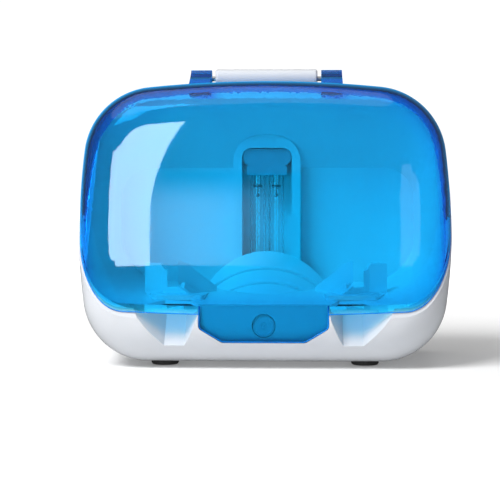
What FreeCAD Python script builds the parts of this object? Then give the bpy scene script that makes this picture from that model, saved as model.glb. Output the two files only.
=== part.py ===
"""Toothbrush sanitizer: a pillow-shaped housing under a hinged clear lid.

Frame: X to the right, -Y to the front, +Z up, z = 0 on the table, origin under
the middle of the object. Millimetres throughout.
"""
import FreeCAD, Part
import Sketcher
import functools
import math
import os

from FreeCAD import Placement, Rotation, Vector

doc = FreeCAD.newDocument("ToothbrushSanitizer")

# ---------------------------------------------------------------- dimensions
DIMENSIONS = {
    # pillow block that housing, lid and liner are all cut from
    "front_half_width": 89.2, "front_top": 137.4, "flare_angle": 3.0,
    "base_level": 2.5, "front_face": -47.5, "back_face": 47.5,
    "side_bow": 7.5, "top_bow": 6.0, "crown_radius": 2600, "crown_level": 70,
    "bottom_corner": 32, "top_corner": 36, "front_edge": 20, "back_edge": 14,
    # slanted split between housing and lid
    "split_front": -46, "split_low": 27, "split_back": 13, "split_high": 140,
    "split_gap": 0.5, "housing_wall": 2.4, "lid_wall": 2.0, "lid_step": 0.8,
    "cover_seam": 34, "seam_gap": 0.3,
    # latch tab and its recess in the chin
    "tab_half_width": 30.5, "tab_foot_half_width": 19.5, "tab_low": 13.4,
    "tab_shoulder": 20, "tab_high": 31, "tab_gap": 0.5, "recess_depth": 3.0,
    # handle channels
    "channel_middle": 42.5, "channel_half_floor": 4.8, "channel_floor": 8,
    "channel_slope": 42, "channel_inner_flare": 21, "channel_outer_flare": 38,
    "channel_wall": 2.0, "channel_back": -13,
    # hinge
    "hinge_depth": 18, "hinge_level": 142.3, "barrel_half_length": 26,
    "barrel_radius": 4.8, "lug_inner": 28, "lug_outer": 38.5, "lug_radius": 4.4,
    "pin_radius": 1.25, "pin_clearance": 0.05, "pin_inner": 14, "pin_outer": 37,
    # liner
    "mouth_half_width": 85.5, "mouth_low": 2.2, "mouth_high": 120.5,
    "mouth_low_corner": 28, "mouth_high_corner": 31, "panel_depth": 38,
    "panel_half_width": 77, "panel_low": 37, "panel_high": 97, "panel_low_corner": 24,
    "panel_high_corner": 16,
    "liner_wall": 1.8, "liner_gap": 0.15, "flange_set_back": 0.6,
    # lamp tower and its recess
    "tower_half_width": 17.5, "tower_low": 38.5, "tower_top": 113.9,
    "tower_front": 27, "tower_back": 44.5, "tower_corner": 14,
    "niche_half_width": 12.9, "niche_low": 39.6, "niche_top": 107.2,
    "niche_corner": 5, "niche_back": 42.5,
    # lamp
    "lamp_depth": 32.4, "leg_radius": 4.0, "leg_spacing": 9.6, "bend_level": 49,
    "cap_level": 93, "cap_half_width": 10.5, "cap_depth": 8.6, "cap_height": 5,
    "glass_wall": 0.8, "electrode_level": 87.4, "socket_half_width": 12.5,
    "socket_top": 106.8, "socket_depth": 10.5,
    # foot cowl
    "cowl_radius": 39, "cowl_step": 1.6, "cowl_tilt": 30, "cowl_wall": 2.0,
    "cowl_rim_depth": 20, "cowl_rim_level": 49.6, "cowl_ring": 18,
    "cowl_nose": 15, "cowl_shoulder": 7.5,
    # plunger, spring, guide and switch
    "plunger_level": 21.1, "plunger_radius": 5.2, "plunger_front": -42.4,
    "plunger_head": 6.2, "plunger_port_gap": 0.35, "collar_radius": 6.5,
    "collar_length": 1.5, "stem_radius": 2.0, "stem_length": 7.0,
    "guide_front": -31.2, "guide_back": -28.2, "guide_half_width": 9,
    "spring_radius": 3.4, "spring_wire": 0.35, "spring_turns": 2,
    "switch_front": -25.8, "switch_half_width": 3.2, "switch_depth": 9,
    "switch_height": 13, "switch_foot_depth": 5, "switch_button": 2.4,
    # brush guides
    "guide_base_top": 33.8, "neck_slot_inner": 43.6, "neck_slot_width": 5.4,
    "neck_slot_floor": 37,
    # feet and screws
    "foot_radius": 6.5, "foot_height": 2.5, "foot_side": 49, "foot_front": -19,
    "foot_back": 27, "screw_head_radius": 2.75, "screw_radius": 1.5,
    "screw_length": 12, "boss_radius": 3.4, "boss_back": 36.8,
    # vents and DC inlet in the rear cover
    "vent_count": 7, "vent_first": -58, "vent_pitch": 6, "vent_width": 2.6,
    "vent_low": 62, "vent_high": 88, "inlet_radius": 4.2, "inlet_across": 40,
    "inlet_level": 22.5, "inlet_barrel": 2.85, "inlet_pin": 1.05,
    # boards
    "board_thickness": 1.6, "board_front": 42.6, "board_inner": 21,
    "board_outer": 60, "board_low": 99, "board_high": 127,
}

sheet = doc.addObject("Spreadsheet::Sheet", "Dims")
for row, (alias, value) in enumerate(DIMENSIONS.items(), start=1):
    sheet.set(f"A{row}", alias)
    sheet.set(f"B{row}", str(value))
    sheet.setAlias(f"B{row}", alias)
doc.recompute()


def dim(alias):
    """One driving dimension, read back from the sheet."""
    return float(getattr(sheet, alias))


# rear screw bosses on each side: across, level, depth of the boss's front end
BOSSES = ((66, 20, 12), (66, 119, 28))
# (depth, level) corners of the thick root that ties a lid ear to the lid
LUG_ROOT = ((-3, 137.4), (-1, 135.2), (3, 134.3), (9.6, 134.3), (12.6, 139.9),
            (16, 139.2), (17, 146.4), (9, 142.4))
# (across, depth) corners of the hole in the tower's roof for the lamp's leads
LEAD_PASSAGE = ((-4.5, 36.6), (4.5, 36.6), (4.5, 40.4), (-4.5, 40.4))

NODES = []


def node(obj, label):
    """Name an object as a sub-part that gets a file of its own."""
    obj.Label = label
    NODES.append(obj)
    return obj


def bind(obj, **expressions):
    """Tie properties to the sheet; double underscores stand for dots."""
    for path, expression in expressions.items():
        obj.setExpression(path.replace("__", "."), expression)
    return obj


def primitive(kind, name, **expressions):
    return bind(doc.addObject("Part::" + kind, name), **expressions)


def place(obj, x="0", y="0", z="0", rotation=None):
    """Put an object at sheet expressions, turned by a fixed rotation."""
    obj.Placement = Placement(Vector(0, 0, 0), rotation or Rotation())
    return bind(obj, Placement__Base__x=x, Placement__Base__y=y, Placement__Base__z=z)


def box(name, length, width, height, x, y, z):
    made = primitive("Box", name, Length=length, Width=width, Height=height)
    return place(made, x, y, z)


ALONG_Y = Rotation(Vector(1, 0, 0), -90)
ALONG_X = Rotation(Vector(0, 1, 0), 90)


def rod(name, radius, length, x, y, z, rotation=None):
    made = primitive("Cylinder", name, Radius=radius, Height=length)
    return place(made, x, y, z, rotation)


def cut(name, base, tool):
    made = doc.addObject("Part::Cut", name)
    made.Base = base
    made.Tool = tool
    return made


def fuse(name, shapes):
    made = doc.addObject("Part::MultiFuse", name)
    made.Shapes = shapes
    return made


def feature(name, shape):
    made = doc.addObject("Part::Feature", name)
    made.Shape = shape
    return made


# ------------------------------------------------------------- sketch helpers
def origin_plane(body, role):
    return next(f for f in body.Origin.OriginFeatures if f.Role == role)


def new_sketch(body, name, role, offset=None):
    """A sketch on one of the body's own planes, pushed out along its normal."""
    sketch = body.newObject("Sketcher::SketchObject", name)
    sketch.AttachmentSupport = [(origin_plane(body, role), "")]
    sketch.MapMode = "FlatFace"
    if offset:
        sketch.setExpression("AttachmentOffset.Base.z", offset)
    return sketch


def constrain(sketch, kind, geometry, point, expression):
    """Distance of a point from one sketch axis, tied to the sheet."""
    index = sketch.addConstraint(Sketcher.Constraint(kind, -1, 1, geometry, point, 1.0))
    sketch.setExpression(f"Constraints[{index}]", expression)


def polygon_sketch(body, name, role, corners, offset=None):
    """A closed polygon; each corner is a guess and its two sheet expressions."""
    sketch = new_sketch(body, name, role, offset)
    points = [Vector(u, v, 0) for u, v, _, _ in corners]
    count = len(points)
    for index in range(count):
        edge = Part.LineSegment(points[index], points[(index + 1) % count])
        sketch.addGeometry(edge, False)
    for index in range(count):
        following = (index + 1) % count
        sketch.addConstraint(Sketcher.Constraint("Coincident", index, 2, following, 1))
    for index, (_, _, u_expression, v_expression) in enumerate(corners):
        constrain(sketch, "DistanceX", index, 1, u_expression)
        constrain(sketch, "DistanceY", index, 1, v_expression)
    return sketch


def rectangle(half_width, low, high, guess=(10, 0, 20)):
    """Corners of an upright rectangle centred on the sketch's vertical axis."""
    wide, bottom, top = guess
    return [
        (-wide, bottom, f"-({half_width})", low), (wide, bottom, half_width, low),
        (wide, top, half_width, high), (-wide, top, f"-({half_width})", high),
    ]


def pad(body, sketch, name, length, reverse=False):
    made = body.newObject("PartDesign::Pad", name)
    made.Profile = sketch
    made.Reversed = reverse
    bind(made, Length=length)
    sketch.Visibility = False
    return made


def pocket(body, sketch, name, length, reverse=False):
    made = body.newObject("PartDesign::Pocket", name)
    made.Profile = sketch
    made.Reversed = reverse
    bind(made, Length=length)
    return made


def new_body(label):
    return node(doc.addObject("PartDesign::Body", label), label)


def dress(body, kind, name, base, radius, wanted):
    """Fillet or chamfer the edges of a feature that the test accepts."""
    doc.recompute()
    names = [f"Edge{i}" for i, edge in enumerate(base.Shape.Edges, start=1) if wanted(edge)]
    made = body.newObject("PartDesign::" + kind, name)
    made.Base = (base, names)
    bind(made, **{"Radius" if kind == "Fillet" else "Size": radius})
    return made


# ----------------------------------------------------------- the pillow block
def bowed_section(depth, half_width, top, bottom, side_bow, top_bow):
    """Front outline at one depth: flat bottom, bowed sides, bowed top."""
    shoulder = half_width - side_bow
    ear = top - top_bow
    waist = (bottom + top) / 2
    low_left, low_right = Vector(-shoulder, depth, bottom), Vector(shoulder, depth, bottom)
    high_left, high_right = Vector(-shoulder, depth, ear), Vector(shoulder, depth, ear)
    edges = [
        Part.makeLine(low_left, low_right),
        Part.Arc(low_right, Vector(half_width, depth, waist), high_right).toShape(),
        Part.Arc(high_right, Vector(0, depth, top), high_left).toShape(),
        Part.Arc(high_left, Vector(-half_width, depth, waist), low_left).toShape(),
    ]
    return Part.Wire(edges)


@functools.lru_cache(maxsize=None)
def pillow(inset):
    """The rounded block, with every face moved inwards by inset."""
    front, back = dim("front_face"), dim("back_face")
    flare = math.tan(math.radians(dim("flare_angle")))
    sections = []
    for depth in (front, back):
        growth = (depth - front) * flare
        section = bowed_section(
            depth, dim("front_half_width") + growth - inset,
            dim("front_top") + growth - inset, dim("base_level") + inset,
            dim("side_bow"), dim("top_bow"))
        sections.append(section)
    block = Part.makeLoft(sections, True, True)
    low = [e for e in block.Edges if runs_back(e) and e.BoundBox.ZMax < dim("crown_level")]
    high = [e for e in block.Edges if runs_back(e) and e.BoundBox.ZMin > dim("crown_level")]
    block = block.makeFillet(dim("bottom_corner") - inset, low)
    high = [e for e in block.Edges if same_place(e, high)]
    block = block.makeFillet(dim("top_corner") - inset, high)
    radius = dim("crown_radius") - inset
    ball = Part.makeSphere(radius, Vector(0, front + dim("crown_radius"), dim("crown_level")))
    rear = Part.makeBox(400, back - inset - front + 50, 400, Vector(-200, front - 50, -100))
    block = block.common(ball).common(rear)
    reach = dim("front_edge") / 2
    face_edges = [e for e in block.Edges if e.BoundBox.YMax < front + reach]
    block = block.makeFillet(dim("front_edge") - inset, face_edges)
    back_edges = [e for e in block.Edges if e.BoundBox.YMin > back - inset - 0.01]
    return block.makeFillet(dim("back_edge") - inset, back_edges)


def runs_back(edge):
    return edge.BoundBox.YLength > 50


def same_place(edge, others):
    return any(edge.CenterOfMass.distanceToPoint(o.CenterOfMass) < 0.5 for o in others)


# longer than the object on every side, for half spaces
SIDE = 400
RIGHT_HALF = Part.makeBox(SIDE, 2 * SIDE, 2 * SIDE, Vector(0, -SIDE, -SIDE))
SIDEWAYS = Vector(1, 0, 0)
BACKWARDS = Vector(0, 1, 0)


def split_direction():
    """Unit vector up the slanted split, in the YZ plane."""
    run = dim("split_back") - dim("split_front")
    rise = dim("split_high") - dim("split_low")
    return Vector(0, run, rise).normalize()


def split_normal():
    """Unit vector out of the split towards the housing."""
    along = split_direction()
    return Vector(0, along.z, -along.y)


def slab(near, far):
    """Everything whose distance behind the split lies between near and far."""
    along, out = split_direction(), split_normal()
    foot = Vector(0, dim("split_front"), dim("split_low"))
    corners = [
        foot + out * near - along * SIDE, foot + out * near + along * SIDE,
        foot + out * far + along * SIDE, foot + out * far - along * SIDE,
    ]
    return across(corners, SIDE)


def across(corners, half_length):
    """Extrude a polygon lying in the YZ plane to both sides of the middle."""
    shift = Vector(-half_length, 0, 0)
    wire = Part.makePolygon([c + shift for c in corners + corners[:1]])
    return Part.Face(wire).extrude(Vector(2 * half_length, 0, 0))


def upright(points, front, back):
    """Extrude a polygon of (x, z) points from front to back."""
    corners = [Vector(x, front, z) for x, z in points]
    wire = Part.makePolygon(corners + corners[:1])
    return Part.Face(wire).extrude(Vector(0, back - front, 0))


def rounded_upright(points, front, back, radius):
    """The same prism with its front-to-back edges rounded."""
    prism = upright(points, front, back)
    return prism.makeFillet(radius, [e for e in prism.Edges if e.BoundBox.YLength > 1])


def tab_prism(grow, front, back):
    """The latch tab's outline, grown all round, from front to back."""
    wide, foot = dim("tab_half_width") + grow, dim("tab_foot_half_width") + grow * 0.6
    low, shoulder, high = dim("tab_low") - grow, dim("tab_shoulder") - grow * 0.3, dim("tab_high")
    points = [(-foot, low), (foot, low), (wide, shoulder), (wide, high), (-wide, high),
              (-wide, shoulder)]
    prism = upright(points, front, back)
    lower = [e for e in prism.Edges if e.BoundBox.YLength > 1 and e.BoundBox.ZMax < high - 1]
    return prism.makeFillet(3.0, lower)


def mirrored(shape):
    return shape.mirror(Vector(0, 0, 0), Vector(1, 0, 0))


# ------------------------------------------------------------ handle channels
def channel(grow, back, ceiling):
    """A sloping V-shaped trough on the right, swept down and out of the chin."""
    slope = math.radians(dim("channel_slope"))
    down = Vector(0, -math.cos(slope), -math.sin(slope))
    front = dim("front_face")
    floor = dim("channel_floor") - grow
    half = dim("channel_half_floor") + grow * 0.7
    rise = ceiling - floor
    inner = half + rise * math.tan(math.radians(dim("channel_inner_flare")))
    outer = half + rise * math.tan(math.radians(dim("channel_outer_flare")))
    middle = dim("channel_middle")
    start = front - 10
    top = rise + 60
    widen_in = half + top * (inner - half) / rise
    widen_out = half + top * (outer - half) / rise
    level = floor - 10 * math.tan(slope)
    profile = [
        Vector(middle - half, start, level), Vector(middle + half, start, level),
        Vector(middle + widen_out, start, level + top),
        Vector(middle - widen_in, start, level + top),
    ]
    face = Part.Face(Part.makePolygon(profile + profile[:1]))
    trough = face.extrude(down * (-(back - start) / math.cos(slope)))
    keep = Part.makeBox(SIDE, back - start, ceiling + 50, Vector(0, start, -50))
    return trough.common(keep)


# ------------------------------------------------------------------- housing
def liner_section(grow, back_extra):
    """Inside of the liner as a loft from the slanted mouth to the back panel."""
    along = split_direction()
    foot = Vector(0, dim("split_front"), dim("split_low"))
    mouth = rounded_outline(
        dim("mouth_half_width") + grow, dim("mouth_low") - grow, dim("mouth_high") + grow,
        dim("mouth_low_corner") + grow, dim("mouth_high_corner") + grow)
    mouth = [map_edge(edge, foot, along) for edge in mouth]
    panel = rounded_outline(
        dim("panel_half_width") + grow, dim("panel_low") - grow, dim("panel_high") + grow,
        dim("panel_low_corner") + grow, dim("panel_high_corner") + grow)
    panel_foot = Vector(0, dim("panel_depth") + back_extra, 0)
    panel = [map_edge(edge, panel_foot, Vector(0, 0, 1)) for edge in panel]
    return Part.makeLoft([Part.Wire(mouth), Part.Wire(panel)], True, True)


def rounded_outline(half_width, low, high, low_corner, high_corner):
    """Rounded rectangle as (kind, points) pieces in (across, up) coordinates."""
    diagonal = 1 - math.sqrt(0.5)
    pieces = []
    corners = [(1, low, low_corner, 1), (1, high, high_corner, -1),
               (-1, high, high_corner, -1), (-1, low, low_corner, 1)]
    ends = []
    for side, level, radius, inward in corners:
        flat_end = (side * (half_width - radius), level)
        upright_end = (side * half_width, level + inward * radius)
        middle = (side * (half_width - radius * diagonal), level + inward * radius * diagonal)
        rising = (side > 0) == (inward > 0)
        ends.append((flat_end, middle, upright_end) if rising else (upright_end, middle, flat_end))
    for index, arc in enumerate(ends):
        following = ends[(index + 1) % 4]
        pieces.append(arc)
        pieces.append((arc[2], following[0]))
    return pieces


def map_edge(piece, foot, along):
    points = [foot + Vector(u, 0, 0) + along * v for u, v in piece]
    if len(points) == 3:
        return Part.Arc(*points).toShape()
    return Part.makeLine(*points)


def build_shells():
    """The pillow's whole wall, and the front housing cut from it."""
    wall, gap = dim("housing_wall"), dim("split_gap")
    outside, inside = pillow(0), pillow(wall)
    shell = outside.cut(inside)
    front, recess = dim("front_face"), dim("recess_depth")
    behind = slab(gap, SIDE)

    far = dim("cover_seam")
    rear_box = Part.makeBox(SIDE, SIDE, SIDE, Vector(-SIDE / 2, far, -50))
    housing = shell.common(behind).cut(rear_box)

    # trough walls of the handle channels
    ceiling = dim("mouth_low") + dim("split_low") - 0.2
    back = dim("channel_back")
    trough = channel(dim("channel_wall"), back, ceiling).common(outside).common(behind)
    half = housing.common(RIGHT_HALF).fuse(trough)

    # recessed wall behind the latch tab
    recess_face = pillow(recess + dim("lid_step"))
    recess_back = pillow(recess + dim("lid_step") + wall)
    pit = tab_prism(dim("tab_gap"), front - 5, front + 12)
    wall_block = tab_prism(dim("tab_gap") + wall, front - 5, front + 12)
    rim = wall_block.cut(pit).common(outside.cut(recess_back))
    recess = wall_block.common(recess_face.cut(recess_back)).fuse(rim)
    half = half.cut(pit.cut(recess_face)).fuse(recess.common(behind).common(RIGHT_HALF))
    half = half.cut(channel(0, back + 30, ceiling + 10))
    return shell, half.fuse(mirrored(half))


def hinge_housing(shape):
    """Barrel, its pylon, lug notches and pin bores on top of the housing."""
    half, radius = dim("barrel_half_length"), dim("barrel_radius")
    depth, level = dim("hinge_depth"), dim("hinge_level")
    barrel = Part.makeCylinder(radius, 2 * half, Vector(-half, depth, level), SIDEWAYS)
    rounded = [e for e in barrel.Edges if e.Curve.TypeId == "Part::GeomCircle"]
    barrel = barrel.makeFillet(1.2, rounded)
    root = Part.makeBox(2 * half - 3, 12, 7.5, Vector(-half + 1.5, depth - 1, level - 8))
    shape = shape.fuse(barrel).fuse(root)
    notch_start = dim("lug_inner") - 1.2
    notch_length = dim("lug_outer") - dim("lug_inner") + 2.4
    clear = dim("lug_radius") + 2.2
    for start in (notch_start, -notch_start - notch_length):
        notch = Part.makeCylinder(clear, notch_length, Vector(start, depth, level), SIDEWAYS)
        shape = shape.cut(notch)
    bore = dim("pin_radius")
    for side in (1, -1):
        start = Vector(side * dim("pin_inner"), depth, level)
        hole = Part.makeCylinder(bore, SIDE, start, Vector(side, 0, 0))
        shape = shape.cut(hole.common(barrel.fuse(root)))
    return shape


def housing_bosses(shape):
    """Screw bosses on ribs that reach the middle of the housing's wall."""
    end = dim("boss_back")
    middle = pillow(dim("housing_wall") / 2)
    for side in (1, -1):
        for across_x, level, start in BOSSES:
            boss = Part.makeCylinder(dim("boss_radius"), end - start,
                                     Vector(side * across_x, start, level), BACKWARDS)
            low = level < dim("crown_level")
            foot = 0 if low else level
            rib = Part.makeBox(2, dim("cover_seam") - start, level if low else 40,
                               Vector(side * across_x - 1, start, foot))
            hole = Part.makeCylinder(dim("screw_radius"), 9,
                                     Vector(side * across_x, end - 9, level), BACKWARDS)
            shape = shape.fuse(boss).fuse(rib.common(middle)).cut(hole)
    return shape


def largest(shape):
    """The biggest solid of a shape, without the crumbs that cutting leaves."""
    return sorted(shape.Solids, key=volume_of)[-1]


def volume_of(shape):
    return shape.Volume


def main_housing(shape):
    """The front housing with its hinge, the plunger's port and its bosses."""
    port = Part.makeCylinder(dim("plunger_radius") + dim("plunger_port_gap"), 20,
                             Vector(0, dim("front_face"), dim("plunger_level")), BACKWARDS)
    shape = largest(hinge_housing(shape).cut(port))
    return housing_bosses(shape.removeSplitter()).removeSplitter()


shell, front_shell = build_shells()
node(feature("HousingShape", main_housing(front_shell)), "main_housing")


# ------------------------------------------------------------------------ lid
def hinge_lug(start):
    """One ear of the lid: eye round the pin, with a thick root in the lid."""
    depth, level = dim("hinge_depth"), dim("hinge_level")
    length = dim("lug_outer") - dim("lug_inner")
    eye = Part.makeCylinder(dim("lug_radius"), length, Vector(start, depth, level), SIDEWAYS)
    points = [Vector(start, y, z) for y, z in LUG_ROOT]
    root = Part.Face(Part.makePolygon(points + points[:1])).extrude(Vector(length, 0, 0))
    return eye.fuse(root).removeSplitter()


def lid():
    step, wall = dim("lid_step"), dim("lid_wall")
    front = dim("front_face")
    skin = pillow(step).cut(pillow(step + wall))
    shape = skin.common(slab(-SIDE, 0))
    shape = shape.fuse(skin.common(tab_prism(0, front - 5, front + 12)))
    length = dim("lug_outer") - dim("lug_inner")
    for start in (dim("lug_inner"), -dim("lug_inner") - length):
        shape = shape.fuse(hinge_lug(start))
    bore = dim("pin_radius") + dim("pin_clearance")
    for side in (1, -1):
        start = Vector(0, dim("hinge_depth"), dim("hinge_level"))
        reach = dim("pin_outer") + 0.3
        shape = shape.cut(Part.makeCylinder(bore, reach, start, Vector(side, 0, 0)))
    return shape


node(feature("LidShape", lid()), "lid")


# ------------------------------------------------------- liner and rear cover
def tower_window(grow):
    half, low, top = dim("tower_half_width"), dim("tower_low"), dim("tower_top")
    points = [(-half - grow, low - grow), (half + grow, low - grow),
              (half + grow, top + grow), (-half - grow, top + grow)]
    prism = upright(points, dim("tower_front") - 5, dim("tower_back") + 5)
    upper = [e for e in prism.Edges if e.BoundBox.YLength > 1 and e.BoundBox.ZMin > top - 1]
    return prism.makeFillet(dim("tower_corner") + grow, upper)


def inner_liner():
    """Open tray with a rim flange, windowed for the lamp tower."""
    wall, gap, back = dim("liner_wall"), dim("liner_gap"), dim("flange_set_back")
    room = pillow(dim("housing_wall") + gap)
    flange = slab(back, back + wall).common(room)
    shape = liner_section(wall, wall).common(room).cut(slab(-SIDE, back)).fuse(flange)
    shape = shape.cut(liner_section(0, 0))
    shape = shape.cut(tower_window(0.1))
    reach = dim("tab_half_width") + 4
    relief = Part.makeBox(2 * reach, 20, 60, Vector(-reach, dim("front_face") - 1, -25))
    behind_recess = pillow(dim("recess_depth") + dim("lid_step") + dim("housing_wall") + gap)
    shape = shape.cut(relief.cut(behind_recess))
    ceiling = dim("split_low") + dim("mouth_low") + 3
    trough = channel(dim("channel_wall") + gap, dim("channel_back") + 0.3, ceiling)
    return largest(shape.cut(trough).cut(mirrored(trough)))


node(feature("LinerShape", inner_liner()), "inner_liner")


def rear_cover():
    """Back of the pillow with screw posts, vents and the inlet's hole."""
    seam = dim("cover_seam") + dim("seam_gap")
    front_box = Part.makeBox(SIDE, SIDE, SIDE, Vector(-SIDE / 2, seam - SIDE, -50))
    shape = shell.cut(front_box)
    back = dim("back_face")
    places = [(side * across_x, level) for side in (1, -1) for across_x, level, _ in BOSSES]
    post_front = dim("boss_back") + 0.2
    for x, z in places:
        post = Part.makeCylinder(dim("boss_radius") + 1, back - 1 - post_front,
                                 Vector(x, post_front, z), BACKWARDS)
        shape = shape.fuse(post)
    for x, z in places:
        hole = Part.makeCylinder(dim("screw_radius") + 0.2, 30, Vector(x, 30, z), BACKWARDS)
        sink = Part.makeCylinder(dim("screw_head_radius") + 0.4, 30,
                                 Vector(x, back - 4.2, z), BACKWARDS)
        shape = shape.cut(hole).cut(sink)
    low, high = dim("vent_low"), dim("vent_high")
    for index in range(int(dim("vent_count"))):
        left = dim("vent_first") + dim("vent_pitch") * index
        right = left + dim("vent_width")
        corners = [(left, low), (right, low), (right, high), (left, high)]
        shape = shape.cut(rounded_upright(corners, back - 6, back + 5, 1.2))
    port = Part.makeCylinder(dim("inlet_radius") + 0.15, 30,
                             Vector(dim("inlet_across"), back - 6, dim("inlet_level")), BACKWARDS)
    return shape.cut(port)


node(feature("RearCoverShape", rear_cover()), "rear_cover")


# ---------------------------------------------------------------- lamp tower
def tower_arch(edge):
    """The two front-to-back edges along the tower's top."""
    return edge.BoundBox.YLength > 5 and edge.BoundBox.ZMin > dim("tower_top") - 1


def niche_corner(edge):
    """The two front-to-back edges along the niche's top."""
    bounds = edge.BoundBox
    at_top = abs(bounds.ZMin - dim("niche_top")) < 0.1 and bounds.ZLength < 0.1
    return bounds.YLength > 5 and at_top


def lamp_tower():
    """Arched block with a niche for the lamp and a passage for its leads."""
    body = new_body("lamp_tower")
    low, top = "Dims.tower_low", "Dims.tower_top"
    outline = polygon_sketch(body, "TowerOutline", "XZ_Plane",
                             rectangle("Dims.tower_half_width", low, top, (17, 38, 110)),
                             "-Dims.tower_back")
    block = pad(body, outline, "TowerPad", "Dims.tower_back - Dims.tower_front")
    arch = dress(body, "Fillet", "TowerArch", block, "Dims.tower_corner", tower_arch)
    niche = polygon_sketch(body, "NicheOutline", "XZ_Plane",
                           rectangle("Dims.niche_half_width", "Dims.niche_low",
                                     "Dims.niche_top", (12, 45, 105)),
                           "-Dims.tower_front")
    hollow = pocket(body, niche, "Niche", "Dims.niche_back - Dims.tower_front")
    doc.recompute()
    solid_volume = arch.Shape.Volume
    assert hollow.Shape.Volume < 0.8 * solid_volume, "the niche must cut into the tower"
    dress(body, "Fillet", "NicheCorners", hollow, "Dims.niche_corner", niche_corner)
    passage = [(x, y, str(x), str(y)) for x, y in LEAD_PASSAGE]
    lead_hole = polygon_sketch(body, "LeadHole", "XY_Plane", passage, "Dims.tower_top + 1")
    pocket(body, lead_hole, "LeadPassage", "10")


lamp_tower()


def cowl_line():
    """Centre of the cowl's crest circle and its axis, leaning down to the front."""
    tilt = math.radians(dim("cowl_tilt"))
    axis = Vector(0, -math.cos(tilt), -math.sin(tilt))
    upward = Vector(0, -math.sin(tilt), math.cos(tilt))
    crest = Vector(0, dim("cowl_rim_depth"), dim("cowl_rim_level"))
    return crest - upward * dim("cowl_radius"), axis


def lamp_foot_cowl():
    """Half-buried stepped drum, leaning forwards, hollow under its rings."""
    centre, axis = cowl_line()
    wall, overlap = dim("cowl_wall"), 1
    ring, nose, step = dim("cowl_ring"), dim("cowl_nose"), dim("cowl_step")
    shoulder = dim("cowl_shoulder")
    lengths = ((-40, shoulder), (shoulder - overlap, ring), (ring - overlap, ring + nose))
    discs, cores = [], []
    for index, (start, end) in enumerate(lengths):
        radius = dim("cowl_radius") - index * step
        base, length = centre + axis * start, end - start
        disc = Part.makeCylinder(radius, length, base, axis)
        front_rim = [e for e in disc.Edges
                     if abs((e.CenterOfMass - base).dot(axis) - length) < 0.1]
        discs.append(disc.makeFillet(0.9, front_rim))
        cores.append(Part.makeCylinder(radius - wall, length - wall, base - axis, axis))
    shape = fuse_all(discs).cut(fuse_all(cores)).common(liner_section(-0.05, -0.05))
    behind = Part.makeBox(100, 60, 100, Vector(-50, dim("tower_front") - 0.05, 0))
    return largest(shape.cut(behind))


def fuse_all(shapes):
    joined = shapes[0]
    for shape in shapes[1:]:
        joined = joined.fuse(shape)
    return joined


node(feature("CowlShape", lamp_foot_cowl()), "lamp_foot_cowl")


# --------------------------------------------------------------- brush guides
# underside of every plate of a guide, inside the liner's floor
GUIDE_FOOT = 25
# each fin: plan start, plan end, (share of the length, top) along it, thickness
FINS = (
    ((26, 9), (45, -5), ((0, 36.5), (0.55, 45), (0.72, 48.6), (1, 50.5)), 3.2),
    ((34, -16), (51, -2), ((0, 31.5), (0.6, 39), (0.75, 44.5), (1, 46)), 2.6),
    ((50.5, -2), (60.5, 0), ((0, 46), (0.2, 48.6), (1, 48.8)), 2.6),
    ((30, 3), (41, -9.5), ((0, 32), (0.6, 36), (1, 40)), 2.2),
    ((33, -20), (56, -12), ((0, 32), (0.5, 34.2), (1, 35)), 2.4),
)
GUIDE_PLAN = [(28.5, 7), (30, -20.5), (55, -18.5), (60, -1), (46, 5)]


def plate(start, end, tops, thickness):
    """An upright plate between two plan points under a rising top edge."""
    (x0, y0), (x1, y1) = start, end
    length = math.hypot(x1 - x0, y1 - y0)
    points = [Vector(length, 0, GUIDE_FOOT), Vector(0, 0, GUIDE_FOOT)]
    points += [Vector(length * share, 0, top) for share, top in tops]
    face = Part.Face(Part.makePolygon(points + points[:1]))
    solid = face.extrude(Vector(0, thickness, 0))
    solid.translate(Vector(0, -thickness / 2, 0))
    crests = [e for e in solid.Edges
              if e.BoundBox.YLength > 1 and e.BoundBox.ZMin > GUIDE_FOOT + 1]
    solid = solid.makeFillet(0.9, crests)
    solid.rotate(Vector(0, 0, 0), Vector(0, 0, 1), math.degrees(math.atan2(y1 - y0, x1 - x0)))
    solid.translate(Vector(x0, y0, 0))
    return solid


def brush_guide():
    """Right-hand guide: fins on a low base, parted by a slot for the neck."""
    shape = rounded_base(GUIDE_PLAN, GUIDE_FOOT, dim("guide_base_top"))
    for fin in FINS:
        shape = shape.fuse(plate(*fin))
    slot = Part.makeBox(dim("neck_slot_width"), 60, 40,
                        Vector(dim("neck_slot_inner"), -40, dim("neck_slot_floor")))
    shape = shape.cut(slot)
    return shape.common(liner_section(-0.05, -0.05)).cut(cowl_clearance())


def rounded_base(points, low, high):
    corners = [Vector(x, y, low) for x, y in points]
    prism = Part.Face(Part.makePolygon(corners + corners[:1])).extrude(Vector(0, 0, high - low))
    return prism.makeFillet(2, [e for e in prism.Edges if e.BoundBox.ZLength > 5])


def cowl_clearance():
    """The cowl's widest drum and a hair more, for its neighbours to clear."""
    centre, axis = cowl_line()
    return Part.makeCylinder(dim("cowl_radius") + 0.1, 100, centre - axis * 50, axis)


guide = largest(brush_guide())
node(feature("GuideRightShape", guide), "brush_guide_right")
node(feature("GuideLeftShape", mirrored(guide)), "brush_guide_left")


# ----------------------------------------------------------------------- lamp
def u_tube(name, radius, top, shorten):
    """Two legs joined by a half ring, as one solid."""
    half = "Dims.leg_spacing / 2"
    height = f"({top}) - Dims.bend_level - {shorten}"
    legs = [rod(f"{name}Leg{side}", radius, height, sign + half, "Dims.lamp_depth",
                "Dims.bend_level") for side, sign in (("Right", "+"), ("Left", "-"))]
    bend = primitive("Torus", name + "Bend", Radius1=half, Radius2=radius)
    bend.Angle3 = 180
    place(bend, "0", "Dims.lamp_depth", "Dims.bend_level", Rotation(Vector(1, 0, 0), -90))
    return fuse(name, legs + [bend])


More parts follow.
